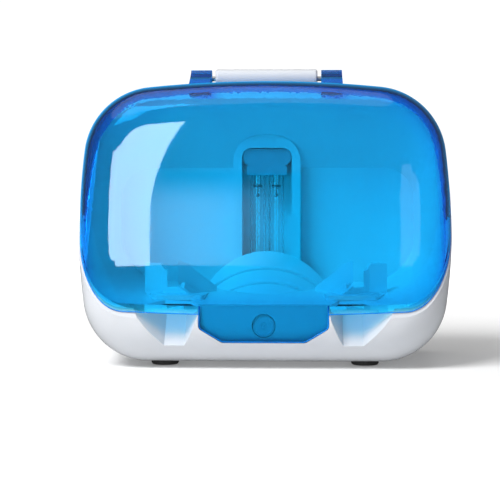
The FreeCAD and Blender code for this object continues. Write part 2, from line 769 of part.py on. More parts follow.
glass_top = "Dims.cap_level + 3"
outer_glass = u_tube("TubeOuter", "Dims.leg_radius", glass_top, 0)
inner_glass = u_tube("TubeInner", "(Dims.leg_radius - Dims.glass_wall)", glass_top, 1)
node(cut("LampTube", outer_glass, inner_glass), "lamp_tube")


def electrodes():
    """Two posts, a filament and a beaded stalk in each leg of the tube."""
    parts = []
    for side, sign in (("Right", "+"), ("Left", "-")):
        middle = sign + "Dims.leg_spacing / 2"
        for post, shift in (("A", "+ 1.5"), ("B", "- 1.5")):
            parts.append(rod(f"Post{side}{post}", "0.25",
                             "Dims.cap_level - Dims.electrode_level + 1",
                             middle + shift, "Dims.lamp_depth", "Dims.electrode_level"))
        parts.append(rod("Filament" + side, "0.55", "4.6", middle + " - 2.3", "Dims.lamp_depth",
                         "Dims.electrode_level", ALONG_X))
        parts.append(rod("Stalk" + side, "0.25", "4.5", middle, "Dims.lamp_depth",
                         "Dims.electrode_level - 4.5"))
        bead = primitive("Sphere", "Bead" + side, Radius="0.95")
        parts.append(place(bead, middle, "Dims.lamp_depth", "Dims.electrode_level - 4.8"))
    return fuse("Electrodes", parts)


node(electrodes(), "lamp_electrodes")


def block_body(label, half_width, front, back, low, high, guess, rounding=None, wanted=None):
    """An upright block from front to back, optionally with rounded edges."""
    body = new_body(label)
    outline = polygon_sketch(body, label + "_outline", "XZ_Plane",
                             rectangle(half_width, low, high, guess), f"-({back})")
    block = pad(body, outline, label + "_pad", f"({back}) - ({front})")
    if rounding:
        dress(body, "Fillet", label + "_edges", block, rounding, wanted)
    return body


def front_to_back(edge):
    return edge.BoundBox.YLength > 1 and edge.BoundBox.XLength < 0.01


def upper_front_to_back(edge):
    return front_to_back(edge) and edge.BoundBox.ZMin > dim("plunger_level")


def circle(sketch, x_expression, y_expression, radius, guess):
    """A circle tied to the sheet; on the sketch's middle when its guess is."""
    index = sketch.addGeometry(Part.Circle(Vector(*guess, 0), Vector(0, 0, 1), 1), False)
    if abs(guess[0]) > 0.01:
        constrain(sketch, "DistanceX", index, 3, x_expression)
    else:
        sketch.addConstraint(Sketcher.Constraint("PointOnObject", index, 3, -2))
    constrain(sketch, "DistanceY", index, 3, y_expression)
    rule = sketch.addConstraint(Sketcher.Constraint("Radius", index, 1.0))
    sketch.setExpression(f"Constraints[{rule}]", radius)


cap = block_body("lamp_cap", "Dims.cap_half_width", "Dims.lamp_depth - Dims.cap_depth / 2",
                    "Dims.lamp_depth + Dims.cap_depth / 2", "Dims.cap_level",
                    "Dims.cap_level + Dims.cap_height", (10, 93, 98), "1.2", front_to_back)
cap_holes = new_sketch(cap, "cap_leg_holes", "XY_Plane", "Dims.cap_level")
for guess, sign in ((4.8, ""), (-4.8, "-")):
    circle(cap_holes, f"{sign}Dims.leg_spacing / 2", "Dims.lamp_depth", "Dims.leg_radius",
           (guess, 32.4))
pocket(cap, cap_holes, "cap_leg_sockets", "3", True)

block_body("lamp_socket", "Dims.socket_half_width", "Dims.lamp_depth - 3.9",
           "Dims.lamp_depth - 3.9 + Dims.socket_depth", "Dims.cap_level + Dims.cap_height",
           "Dims.socket_top", (12, 98, 106), "4.2", front_to_back)


def lead(points, radius, bend):
    """A round lead along straight runs joined by tangent arcs."""
    edges, start = [], points[0]
    for before, corner, after in zip(points, points[1:], points[2:]):
        inward, onward = (corner - before).normalize(), (after - corner).normalize()
        half_turn = inward.getAngle(onward) / 2
        cut_back = bend * math.tan(half_turn)
        enter, leave = corner - inward * cut_back, corner + onward * cut_back
        bisector = (onward - inward).normalize()
        centre = corner + bisector * (bend / math.cos(half_turn))
        edges.append(Part.makeLine(start, enter))
        edges.append(Part.Arc(enter, centre - bisector * bend, leave).toShape())
        start = leave
    edges.append(Part.makeLine(start, points[-1]))
    path = Part.Wire(edges)
    circle_wire = Part.Wire(Part.makeCircle(radius, points[0], (points[1] - points[0])))
    tube = path.makePipeShell([circle_wire], True, True)
    expected = math.pi * radius ** 2 * path.Length
    assert abs(tube.Volume / expected - 1) < 0.02, "a lead lost volume"
    return tube


lamp_leads = Part.makeCompound([
    lead([Vector(-2, 38.5, dim("socket_top")), Vector(-2, 38.5, 119), Vector(22, 38.8, 119)],
         0.8, 3),
    lead([Vector(2, 38.5, dim("socket_top")), Vector(2, 38.5, 116), Vector(22, 38.8, 116)],
         0.8, 3),
])
node(feature("LampLeads", lamp_leads), "lamp_leads")

# ---------------------------------------------- plunger, guide, spring, switch
level = "Dims.plunger_level"
front = "Dims.plunger_front"
head = rod("PlungerHead", "Dims.plunger_radius", "Dims.plunger_head", "0", front, level, ALONG_Y)
collar = rod("PlungerCollar", "Dims.collar_radius", "Dims.collar_length", "0",
             front + " + Dims.plunger_head", level, ALONG_Y)
stem = rod("PlungerStem", "Dims.stem_radius", "Dims.stem_length", "0",
           front + " + Dims.plunger_head + Dims.collar_length", level, ALONG_Y)
node(fuse("Plunger", [head, collar, stem]), "safety_plunger")

guide_body = block_body("plunger_guide", "Dims.guide_half_width", "Dims.guide_front",
                           "Dims.guide_back", "Dims.base_level + Dims.housing_wall + 0.5",
                           "Dims.plunger_level + 6", (9, 5, 27), "2", upper_front_to_back)
bore_sketch = new_sketch(guide_body, "guide_bore", "XZ_Plane", "-Dims.guide_front + 1")
circle(bore_sketch, "0", level, "Dims.stem_radius + 0.08", (0, 21))
pocket(guide_body, bore_sketch, "guide_bore_cut", "10")


def spring():
    """Helix of short arcs between the collar and the guide, round the stem."""
    start = dim("plunger_front") + dim("plunger_head") + dim("collar_length")
    wire, turns = dim("spring_wire"), dim("spring_turns")
    clear = wire + 0.05
    length = dim("guide_front") - start - 2 * clear
    arcs_per_turn = 4
    count = int(turns * arcs_per_turn)

    def at(share):
        angle = 2 * math.pi * turns * share
        return Vector(dim("spring_radius") * math.cos(angle), start + clear + length * share,
                      dim("plunger_level") + dim("spring_radius") * math.sin(angle))

    arcs = [Part.Arc(at(i / count), at((i + 0.5) / count), at((i + 1) / count)).toShape()
            for i in range(count)]
    heading = arcs[0].tangentAt(arcs[0].FirstParameter)
    section = Part.Wire(Part.makeCircle(wire, at(0), heading))
    return Part.Wire(arcs).makePipeShell([section], True, False)


node(feature("SpringShape", spring()), "plunger_spring")

switch_middle = "-Dims.switch_half_width"
switch_low = level + " - 9"
switch_body = box("SwitchBody", "2 * Dims.switch_half_width", "Dims.switch_depth",
                  "Dims.switch_height", switch_middle, "Dims.switch_front", switch_low)
switch_button = box("SwitchButton", "Dims.switch_button", "1.6", "Dims.switch_button",
                    "-Dims.switch_button / 2", "Dims.switch_front - 1.6",
                    level + " - Dims.switch_button / 2")
switch_foot = box("SwitchFoot", "2 * Dims.switch_half_width", "Dims.switch_foot_depth",
                  switch_low + " - Dims.base_level - Dims.housing_wall + 1", switch_middle,
                  "Dims.switch_front + 1.8", "Dims.base_level + Dims.housing_wall")
node(fuse("Switch", [switch_body, switch_button, switch_foot]), "safety_switch")

switch_lead = lead([Vector(0, -16.8, 13), Vector(0, 2, 13), Vector(24, 22, 13),
                    Vector(24, 43, 13), Vector(24, 43, 98.9)], 0.9, 5)
node(feature("SwitchLead", switch_lead), "switch_lead")

# ------------------------------------------------------------------ electronics
board = new_body("circuit_board")
board_corners = [
    (21, 99, "Dims.board_inner", "Dims.board_low"), (60, 99, "Dims.board_outer", "Dims.board_low"),
    (60, 127, "Dims.board_outer", "Dims.board_high"),
    (21, 127, "Dims.board_inner", "Dims.board_high"),
]
board_sketch = polygon_sketch(board, "BoardOutline", "XZ_Plane", board_corners,
                              "-(Dims.board_front + Dims.board_thickness)")
pad(board, board_sketch, "BoardPad", "Dims.board_thickness")
BOARD_SCREWS = ((25, 103), (25, 123), (56, 103), (56, 123))
hole_sketch = new_sketch(board, "BoardHoles", "XZ_Plane", "-Dims.board_front + 1")
for x, z in BOARD_SCREWS:
    circle(hole_sketch, str(x), str(z), "1.3", (x, z))
pocket(board, hole_sketch, "BoardScrewHoles", "5")

board_face = "Dims.board_front"
node(box("Transformer", "15", "7.6", "14", "30", board_face + " - 7.6", "107"), "ballast_transformer")
cans = [rod(f"Can{i}", "3.6", "7.6", str(x), board_face + " - 7.6", str(z), ALONG_Y)
        for i, (x, z) in enumerate(((50, 119), (50, 110.5), (56, 114.8)))]
node(fuse("Cans", cans), "capacitors")
node(box("Connector", "5", "4.6", "7", "22", board_face + " - 4.6", "114"), "lamp_connector")


def screws(name, places, head_radius, head_length, radius, length, start, sign):
    """Identical screws along Y as separate solids; sign gives the way they point."""
    solids = []
    for x, z in places:
        way = Vector(0, sign, 0)
        head_solid = Part.makeCylinder(head_radius, head_length, Vector(x, start, z), way)
        slot = Part.makeBox(head_radius * 1.5, 0.8, 0.6,
                            Vector(x - head_radius * 0.75, start - 0.4, z - 0.3))
        cross = Part.makeBox(0.6, 0.8, head_radius * 1.5,
                             Vector(x - 0.3, start - 0.4, z - head_radius * 0.75))
        shank = Part.makeCylinder(radius, length, Vector(x, start, z) + way * head_length, way)
        solids.append(head_solid.cut(slot).cut(cross).fuse(shank))
    return feature(name, Part.makeCompound(solids))


def spacer(x, z):
    """A short tube between the board and the rear cover."""
    start = dim("board_front") + dim("board_thickness")
    length = dim("back_face") - dim("housing_wall") - start
    foot = Vector(x, start, z)
    return Part.makeCylinder(2.4, length, foot, BACKWARDS).cut(
        Part.makeCylinder(1.3, length, foot, BACKWARDS))


spacers = Part.makeCompound([spacer(x, z) for x, z in BOARD_SCREWS])
node(feature("BoardSpacers", spacers), "board_spacers")
node(screws("BoardScrews", BOARD_SCREWS, 2.0, 1.4, 1.1, 2.4, dim("board_front") - 1.4, 1),
     "board_screws")
rear_places = [(side * x, z) for side in (1, -1) for x, z, _ in BOSSES]
node(screws("RearScrews", rear_places, dim("screw_head_radius"), 2.2, dim("screw_radius") - 0.1,
            dim("screw_length"), dim("back_face") - 2, -1), "rear_screws")


def dc_inlet():
    """Barrel socket behind the cover, with its nose through the cover's hole."""
    x, z = dim("inlet_across"), dim("inlet_level")
    back, wall = dim("back_face"), dim("housing_wall")
    case = Part.makeBox(9, 10.4, 11, Vector(x - 4.5, back - wall - 10.5, z - 5.5))
    nose = Part.makeCylinder(dim("inlet_radius"), wall, Vector(x, back - wall - 0.1, z),
                             BACKWARDS)
    well = Part.makeCylinder(dim("inlet_barrel"), 10, Vector(x, back - 9, z), BACKWARDS)
    pin = Part.makeCylinder(dim("inlet_pin"), 8, Vector(x, back - 9.5, z), BACKWARDS)
    return case.fuse(nose).cut(well).fuse(pin)


node(feature("Inlet", dc_inlet()), "dc_inlet")
inlet_top = Vector(dim("inlet_across"), 43, dim("inlet_level") + 5.5)
power_lead = lead([inlet_top, Vector(dim("inlet_across"), 43, 98.9)], 1.1, 5)
node(feature("PowerLead", power_lead), "power_lead")


# ----------------------------------------------------------------- hinge pins
for label, start in (("hinge_pin_right", "Dims.pin_inner"), ("hinge_pin_left", "-Dims.pin_outer")):
    node(rod(label + "_rod", "Dims.pin_radius", "Dims.pin_outer - Dims.pin_inner", start,
             "Dims.hinge_depth", "Dims.hinge_level", ALONG_X), label)

# ------------------------------------------------------------------------ feet
for side, across_x in (("left", "-Dims.foot_side"), ("right", "Dims.foot_side")):
    for end, depth in (("front", "Dims.foot_front"), ("back", "Dims.foot_back")):
        puck = rod(f"Puck_{end}_{side}", "Dims.foot_radius", "Dims.foot_height", across_x,
                   depth, "0")
        doc.recompute()
        rounded = doc.addObject("Part::Fillet", f"Foot_{end}_{side}")
        rounded.Base = puck
        lower = [i for i, e in enumerate(puck.Shape.Edges, start=1) if e.BoundBox.ZMax < 0.01]
        rounded.Edges = [(i, 0.8, 0.8) for i in lower]
        node(rounded, f"foot_{end}_{side}")


# ----------------------------------------------------------- check and export
doc.recompute()
for obj in doc.Objects:
    state = set(obj.State)
    if state & {"Invalid", "Error"}:
        raise RuntimeError(f"{obj.Name} failed: {obj.State}")
for obj in NODES:
    if obj.Shape.isNull() or not obj.Shape.isValid():
        raise RuntimeError(f"{obj.Label} has no valid shape")

os.makedirs("parts", exist_ok=True)
for obj in NODES:
    obj.Shape.exportStep(os.path.join("parts", obj.Label + ".step"))
    box_now = obj.Shape.BoundBox
    print(f"{obj.Label:20s} solids {len(obj.Shape.Solids)} volume {obj.Shape.Volume:9.1f} "
          f"x {box_now.XMin:6.1f} {box_now.XMax:6.1f} y {box_now.YMin:6.1f} {box_now.YMax:6.1f} "
          f"z {box_now.ZMin:6.1f} {box_now.ZMax:6.1f}")
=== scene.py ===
# %% [markdown]
# # A toothbrush sanitizer under a clear blue lid
#
# The casing, the lid, the lamp and everything that moves come from the packed
# model. This lesson dresses them: a camera and lights first, then one finish
# for each material, then the small things a moulded and soldered product has
# that a drawing leaves out.

# %% Load the fixed frame
import math

import bmesh
import bpy
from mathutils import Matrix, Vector


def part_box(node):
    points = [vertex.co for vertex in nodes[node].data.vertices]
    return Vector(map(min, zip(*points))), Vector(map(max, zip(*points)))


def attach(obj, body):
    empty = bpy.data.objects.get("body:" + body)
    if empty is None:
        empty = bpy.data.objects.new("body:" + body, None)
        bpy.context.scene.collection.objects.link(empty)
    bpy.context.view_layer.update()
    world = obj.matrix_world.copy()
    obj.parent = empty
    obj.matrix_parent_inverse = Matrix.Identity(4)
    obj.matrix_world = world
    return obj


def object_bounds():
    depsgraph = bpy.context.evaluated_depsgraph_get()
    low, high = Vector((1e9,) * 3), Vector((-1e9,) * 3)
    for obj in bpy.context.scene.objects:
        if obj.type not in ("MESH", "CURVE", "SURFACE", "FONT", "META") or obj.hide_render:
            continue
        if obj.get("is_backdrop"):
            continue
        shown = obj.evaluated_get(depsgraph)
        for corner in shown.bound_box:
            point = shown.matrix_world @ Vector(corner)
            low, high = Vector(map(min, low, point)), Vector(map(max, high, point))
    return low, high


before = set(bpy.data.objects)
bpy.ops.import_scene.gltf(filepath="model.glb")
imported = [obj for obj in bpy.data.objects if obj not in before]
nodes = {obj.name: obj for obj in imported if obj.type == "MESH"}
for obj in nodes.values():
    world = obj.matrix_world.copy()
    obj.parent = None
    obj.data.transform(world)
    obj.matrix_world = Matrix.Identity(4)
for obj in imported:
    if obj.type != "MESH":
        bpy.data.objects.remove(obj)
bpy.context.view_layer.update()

scene = bpy.context.scene
MM = 0.001
FEET = ("foot_front_left", "foot_front_right", "foot_back_left", "foot_back_right")

# %% [markdown]
# ## Where the camera stands
#
# A product shot of a small box is taken from far away with a long lens, so that
# the sides stay parallel. The camera stands a little right of the middle, just
# below the lid's top, and looks slightly down and to the left.

# %% Camera
camera_place = Vector((0.0157, -0.721, 0.085))
camera_target = Vector((-0.0064, -0.046, 0.0571))
camera_data = bpy.data.cameras.new("product_camera")
camera_data.lens = 103.4
camera_data.sensor_width = 36
camera_data.clip_start = 0.01
camera = bpy.data.objects.new("product_camera", camera_data)
camera.location = camera_place
camera.rotation_euler = (camera_target - camera_place).to_track_quat("-Z", "Y").to_euler()
scene.collection.objects.link(camera)
scene.camera = camera
print("camera to lid", round((camera_target - camera_place).length, 3), "m")

# %% [markdown]
# ## A glowing table in a dim room
#
# The object stands on a white table that glows, in front of a white backdrop.
# Its glow is painted light: faint under the object and brighter farther out, so
# that the far table stays white. The room behind the camera and at the sides is
# dim: a clear lid mirrors whatever is there, and only a dim room leaves its
# edges deep blue. For the same reason the table's own mirror image is kept
# dimmer than the table is, which is a trick of the studio and not something a
# real table does.

# %% Picture settings
scene.view_settings.view_transform = "Standard"
scene.cycles.use_denoising = True
scene.cycles.max_bounces = 18
scene.cycles.transmission_bounces = 14
scene.cycles.transparent_max_bounces = 16
scene.cycles.sample_clamp_indirect = 6


# %% Table with painted glow
def shader(name):
    """A new material, its node tree and its Principled node."""
    material = bpy.data.materials.new(name)
    material.use_nodes = True
    return material, material.node_tree, material.node_tree.nodes["Principled BSDF"]


def ramp(tree, value, start, end, low, high, smooth=True):
    """Map a value between start and end to a number between low and high."""
    made = tree.nodes.new("ShaderNodeMapRange")
    if smooth:
        made.interpolation_type = "SMOOTHSTEP"
    made.inputs["From Min"].default_value = start
    made.inputs["From Max"].default_value = end
    made.inputs["To Min"].default_value = low
    made.inputs["To Max"].default_value = high
    tree.links.new(value, made.inputs["Value"])
    return made.outputs["Result"]


def mix_shaders(tree, share, first, second):
    """Blend two shaders: share 0 gives the first and 1 the second."""
    made = tree.nodes.new("ShaderNodeMixShader")
    tree.links.new(share, made.inputs[0])
    tree.links.new(first, made.inputs[1])
    tree.links.new(second, made.inputs[2])
    return made.outputs[0]


def combine(tree, operation, first, second, clamp=False):
    """One sum of two values."""
    made = tree.nodes.new("ShaderNodeMath")
    made.operation = operation
    made.use_clamp = clamp
    tree.links.new(first, made.inputs[0])
    tree.links.new(second, made.inputs[1])
    return made.outputs[0]


def flat_stage(name, corners, material):
    """A flat sheet that belongs to the studio and not to the object."""
    mesh = bpy.data.meshes.new(name)
    mesh.from_pydata(corners, [], [range(len(corners))])
    mesh.materials.append(material)
    made = bpy.data.objects.new(name, mesh)
    scene.collection.objects.link(made)
    made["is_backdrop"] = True
    return made


reach, front_edge, mirror_share = 8, -0.335, 0.05
glow_near, glow_far = 0.16, 0.95
glow_starts, glow_full = 0.12, 0.7
mirrored_table = 0.1
table_finish = bpy.data.materials.new("painted_glow_table")
table_finish.use_nodes = True
sheet = table_finish.node_tree
sheet.nodes.remove(sheet.nodes["Principled BSDF"])
matt = sheet.nodes.new("ShaderNodeBsdfDiffuse")
matt.inputs["Color"].default_value = (0.8, 0.8, 0.8, 1)
table_place = sheet.nodes.new("ShaderNodeTexCoord")
from_object = sheet.nodes.new("ShaderNodeVectorMath")
from_object.operation = "LENGTH"
sheet.links.new(table_place.outputs["Object"], from_object.inputs[0])
# painted light: the table glows faintly near the object and more with distance from it, so the
# far table stays white
painted_table_glow = sheet.nodes.new("ShaderNodeEmission")
sheet.links.new(
    ramp(sheet, from_object.outputs["Value"], glow_starts, glow_full, glow_near, glow_far),
    painted_table_glow.inputs["Strength"])
both = sheet.nodes.new("ShaderNodeAddShader")
sheet.links.new(matt.outputs[0], both.inputs[0])
sheet.links.new(painted_table_glow.outputs[0], both.inputs[1])
polish = sheet.nodes.new("ShaderNodeBsdfGlossy")
polish.inputs["Roughness"].default_value = 0.08
top_coat = sheet.nodes.new("ShaderNodeMixShader")
top_coat.inputs[0].default_value = mirror_share
sheet.links.new(both.outputs[0], top_coat.inputs[1])
sheet.links.new(polish.outputs[0], top_coat.inputs[2])
# a ray that comes from a mirroring surface sees a dim table
dim_below = sheet.nodes.new("ShaderNodeEmission")
dim_below.inputs["Strength"].default_value = mirrored_table
table_path = sheet.nodes.new("ShaderNodeLightPath")
from_mirror = combine(sheet, "SUBTRACT", table_path.outputs["Is Reflection Ray"],
                      table_path.outputs["Is Diffuse Ray"], clamp=True)
sheet.links.new(mix_shaders(sheet, from_mirror, top_coat.outputs[0], dim_below.outputs[0]),
                sheet.nodes["Material Output"].inputs["Surface"])
flat_stage("painted_glow_table", [(-reach, front_edge, 0), (reach, front_edge, 0),
                           (reach, reach, 0), (-reach, reach, 0)], table_finish)
print("table", 2 * reach, "m wide")

# %% Room
dim_room, backdrop_glow = 0.16, 1.05
world = bpy.data.worlds.new("studio")
scene.world = world
world.use_nodes = True
room = world.node_tree
glow = room.nodes["Background"]
glow.inputs["Color"].default_value = (1, 1, 1, 1)
glow.inputs["Strength"].default_value = dim_room
backdrop = room.nodes.new("ShaderNodeBackground")
backdrop.inputs["Color"].default_value = (1, 1, 1, 1)
backdrop.inputs["Strength"].default_value = backdrop_glow
room_path = room.nodes.new("ShaderNodeLightPath")
room.links.new(mix_shaders(room, room_path.outputs["Is Camera Ray"], glow.outputs[0],
                           backdrop.outputs[0]),
               room.nodes["World Output"].inputs["Surface"])
print("room at", dim_room)

# %% [markdown]
# ## Soft light
#
# A big box from the upper left is the key; it lights but makes no glint of its
# own. A soft sky light from above keeps the table white. A white card stands low
# beside the camera on the left, with a round bite out of its edge: the nearly
# flat front of the lid mirrors it as the tall bright patch on its left. A much
# fainter card behind it fades out toward the right and toward its top, and leaves
# a veil over the lower half of the lid. A dim card on the right fills the far
# side.


# %% Lamps
def area_lamp(name, place, target, width, height, watts):
    """A rectangular lamp that looks at a target."""
    data = bpy.data.lights.new(name, "AREA")
    data.shape = "RECTANGLE"
    data.size = width
    data.size_y = height
    data.energy = watts
    lamp = bpy.data.objects.new(name, data)
    lamp.location = place
    lamp.rotation_euler = (Vector(target) - Vector(place)).to_track_quat("-Z", "Y").to_euler()
    scene.collection.objects.link(lamp)
    return lamp


key_place, key_side, key_watts = (-0.55, -0.6, 0.95), 0.6, 16.5
middle = (0, 0, 0.07)
key = area_lamp("key_box", key_place, middle, key_side, key_side, key_watts)
key.visible_glossy = False
sky_data = bpy.data.lights.new("sky_light", "SUN")
sky_data.energy = 0.8
sky_data.angle = math.radians(70)
sky = bpy.data.objects.new("sky_light", sky_data)
sky.rotation_euler = (math.radians(6), math.radians(-14), 0)
scene.collection.objects.link(sky)


# %% Cards beside the camera
def glowing(name, strength):
    """A black surface that gives off white light."""
    material, _, base = shader(name)
    base.inputs["Base Color"].default_value = (0, 0, 0, 1)
    base.inputs["Emission Color"].default_value = (1, 1, 1, 1)
    base.inputs["Emission Strength"].default_value = strength
    return material


card_plane = -0.745
card_gap = 0.01
card_foot = 0.002
left_end, left_top = -0.42, 0.178
left_glow, veil_glow, right_glow = 10, 2.0, 1.2
bite_centre, bite_radius, bite_stretch = (-0.068, 0.045), 0.087, 1.65
bite_first, bite_last, bite_steps = 118, 172, 16
card_left = [(left_end, 0.0), (left_end, left_top)]
for step in range(bite_steps + 1):
    angle = math.radians(bite_first + (bite_last - bite_first) * step / bite_steps)
    card_left.append((bite_centre[0] + bite_radius * math.cos(angle),
                      bite_centre[1] + bite_stretch * bite_radius * math.sin(angle)))
card_left.append((card_left[-1][0], 0.0))
flat_stage("card_left", [(x, card_plane, z + card_foot) for x, z in card_left],
           glowing("card_left", left_glow))

veil_left, veil_right, veil_top = -0.160, 0.03, 0.115
veil_full_across, veil_full_up = -0.11, 0.07
veil_finish = glowing("card_veil", 1)
veil_tree = veil_finish.node_tree
veil_place = veil_tree.nodes.new("ShaderNodeTexCoord")
veil_axes = veil_tree.nodes.new("ShaderNodeSeparateXYZ")
veil_tree.links.new(veil_place.outputs["Object"], veil_axes.inputs[0])
veil_level = combine(
    veil_tree, "MULTIPLY",
    ramp(veil_tree, veil_axes.outputs["X"], veil_right, veil_full_across, 0, veil_glow),
    ramp(veil_tree, veil_axes.outputs["Z"], veil_top, veil_full_up, 0, 1))
veil_tree.links.new(veil_level, veil_tree.nodes["Principled BSDF"].inputs["Emission Strength"])


def card(name, left, right, top, plane, material):
    """An upright rectangle of card in front of the object."""
    return flat_stage(name, [(left, plane, card_foot), (right, plane, card_foot),
                             (right, plane, top), (left, plane, top)], material)


card("card_veil", veil_left, veil_right, veil_top, card_plane - card_gap, veil_finish)
card("card_right", 0.146, 0.40, 0.124, card_plane, glowing("card_right", right_glow))
print("left card has", len(card_left), "corners")

# %% [markdown]
# ## One recipe for moulded surfaces
#
# No moulding is one even colour. The resin flows, so its shade drifts a little
# over centimetres, its gloss varies, and its skin has a fine texture from the
# mould. One helper builds this from two noises on Object coordinates: a broad
# one for shade and gloss, and a fine one for the skin.


# %% Helper for a surface finish
def finish(name, dark, light, drift, gloss, grain, relief, metallic=0.0):
    """A finish whose colour, gloss and skin vary.

    drift and grain are the sizes in metres of the broad and the fine pattern,
    gloss the lowest and highest roughness, relief the skin's depth in metres.
    """
    material, tree, base = shader(name)
    base.inputs["Metallic"].default_value = metallic
    place = tree.nodes.new("ShaderNodeTexCoord")
    broad = tree.nodes.new("ShaderNodeTexNoise")
    broad.inputs["Scale"].default_value = 1 / drift
    broad.inputs["Detail"].default_value = 3
    tree.links.new(place.outputs["Object"], broad.inputs["Vector"])
    shade = tree.nodes.new("ShaderNodeMix")
    shade.data_type = "RGBA"
    shade.inputs["A"].default_value = (*dark, 1)
    shade.inputs["B"].default_value = (*light, 1)
    tree.links.new(broad.outputs["Fac"], shade.inputs["Factor"])
    tree.links.new(shade.outputs["Result"], base.inputs["Base Color"])
    tree.links.new(ramp(tree, broad.outputs["Fac"], 0, 1, *gloss, smooth=False),
                   base.inputs["Roughness"])
    fine = tree.nodes.new("ShaderNodeTexNoise")
    fine.inputs["Scale"].default_value = 1 / grain
    fine.inputs["Detail"].default_value = 2
    tree.links.new(place.outputs["Object"], fine.inputs["Vector"])
    skin = tree.nodes.new("ShaderNodeBump")
    skin.inputs["Strength"].default_value = 0.6
    skin.inputs["Distance"].default_value = relief
    tree.links.new(fine.outputs["Fac"], skin.inputs["Height"])
    tree.links.new(skin.outputs["Normal"], base.inputs["Normal"])
    return material


def dress(material, *names):
    """Give the material to whole CAD nodes."""
    for name in names:
        slots = nodes[name].data.materials
        slots.clear()
        slots.append(material)
    print(material.name, "on", len(names))
    return material


# %% [markdown]
# ## White mouldings
#
# The casing is polished ABS: a hard gloss over a faint orange peel. The liner,
# the tower, the cowl and the guides inside are the same resin out of a
# spark-eroded mould, which leaves a finer, duller skin.

# %% White casing and satin liner
dress(finish("white_shell", (0.54, 0.56, 0.59), (0.59, 0.61, 0.64),
             0.03, (0.14, 0.22), 0.0012, 4e-6),
      "main_housing", "rear_cover")
dress(finish("white_liner", (0.80, 0.82, 0.84), (0.87, 0.89, 0.90),
             0.02, (0.32, 0.46), 0.0004, 1.2e-5),
      "inner_liner", "lamp_tower", "lamp_foot_cowl", "brush_guide_left", "brush_guide_right")
dress(finish("bracket_white", (0.74, 0.75, 0.75), (0.82, 0.82, 0.81),
             0.008, (0.4, 0.55), 0.0004, 1.5e-5),
      "plunger_guide", "lamp_connector", "board_spacers")

# %% [markdown]
# ## Clear parts
#
# The lid is tinted all through, so its face is a light cyan and its edge,
# where the eye looks along the wall, is a deep blue. Colour that deepens with
# the length of the way is absorption inside the wall, so the surface is clear
# and a volume takes the red and some green out. Lamps shine through the same
# lid, and for a shadow ray the surface is a nearly clear filter instead. Where
# the wall is seen almost edge on, the surface turns partly into a blue that
# scatters light, a stand-in for the light that gathers there. The lamp's quartz
# is made the same way without a tint.


# %% Helper for clear walls
def clear_wall(name, ior, roughness, filter_color, peel, relief):
    """Clear moulded wall: glass to the eye, a tinted filter to lamps."""
    material, tree, glass = shader(name)
    glass.inputs["Base Color"].default_value = (1, 1, 1, 1)
    glass.inputs["IOR"].default_value = ior
    glass.inputs["Transmission Weight"].default_value = 1
    place = tree.nodes.new("ShaderNodeTexCoord")
    ripple = tree.nodes.new("ShaderNodeTexNoise")
    ripple.inputs["Scale"].default_value = 1 / peel
    tree.links.new(place.outputs["Object"], ripple.inputs["Vector"])
    tree.links.new(ramp(tree, ripple.outputs["Fac"], 0, 1, *roughness, smooth=False),
                   glass.inputs["Roughness"])
    skin = tree.nodes.new("ShaderNodeBump")
    skin.inputs["Strength"].default_value = 0.5
    skin.inputs["Distance"].default_value = relief
    tree.links.new(ripple.outputs["Fac"], skin.inputs["Height"])
    tree.links.new(skin.outputs["Normal"], glass.inputs["Normal"])
    to_lamps = tree.nodes.new("ShaderNodeBsdfTransparent")
    to_lamps.inputs["Color"].default_value = (*filter_color, 1)
    path = tree.nodes.new("ShaderNodeLightPath")
    filtering = combine(tree, "MAXIMUM", path.outputs["Is Shadow Ray"],
                        path.outputs["Is Diffuse Ray"])
    tree.links.new(mix_shaders(tree, filtering, glass.outputs[0], to_lamps.outputs[0]),
                   tree.nodes["Material Output"].inputs["Surface"])
    return material


# %% Lid and lamp
clear_blue = clear_wall("clear_blue", 1.49, (0.0, 0.04), (0.97, 0.98, 0.98), 0.02, 4e-6)
lid_tree = clear_blue.node_tree
lid_output = lid_tree.nodes["Material Output"]
tint = lid_tree.nodes.new("ShaderNodeVolumeAbsorption")
tint.inputs["Color"].default_value = (0.0, 0.821, 0.953, 1)
tint.inputs["Density"].default_value = 1200
lid_tree.links.new(tint.outputs[0], lid_output.inputs["Volume"])

# the surface deepens as the wall turns away
slant = lid_tree.nodes.new("ShaderNodeLayerWeight")
slant.inputs["Blend"].default_value = 0.5
edge_tint = lid_tree.nodes.new("ShaderNodeMix")
edge_tint.data_type = "RGBA"
edge_tint.inputs["A"].default_value = (1, 1, 1, 1)
edge_tint.inputs["B"].default_value = (0.1, 0.42, 0.97, 1)
lid_tree.links.new(ramp(lid_tree, slant.outputs["Facing"], 0.18, 0.62, 0, 1),
                   edge_tint.inputs["Factor"])
lid_tree.links.new(edge_tint.outputs["Result"],
                   lid_tree.nodes["Principled BSDF"].inputs["Base Color"])

# light gathers at the rim, where the wall is seen nearly edge on
rim_light = lid_tree.nodes.new("ShaderNodeBsdfDiffuse")
rim_light.inputs["Color"].default_value = (0.0, 0.36, 0.84, 1)
rim_share = ramp(lid_tree, slant.outputs["Facing"], 0.55, 0.95, 0, 0.7)
clear_surface = lid_output.inputs["Surface"].links[0].from_socket
lid_tree.links.new(mix_shaders(lid_tree, rim_share, clear_surface, rim_light.outputs[0]),
                   lid_output.inputs["Surface"])
dress(clear_blue, "lid")
dress(clear_wall("quartz", 1.46, (0.0, 0.004), (1, 1, 1), 0.03, 1e-7), "lamp_tube")

# %% [markdown]
# ## Dark plastics, rubber and wire sleeves
#
# The lamp's cap and socket are grey heat-proof plastic, the plunger is grey
# acetal, and the switch, the inlet and the feet are black. Sleeves are soft
# and dull. Each only differs from the recipe in its colours and scales.

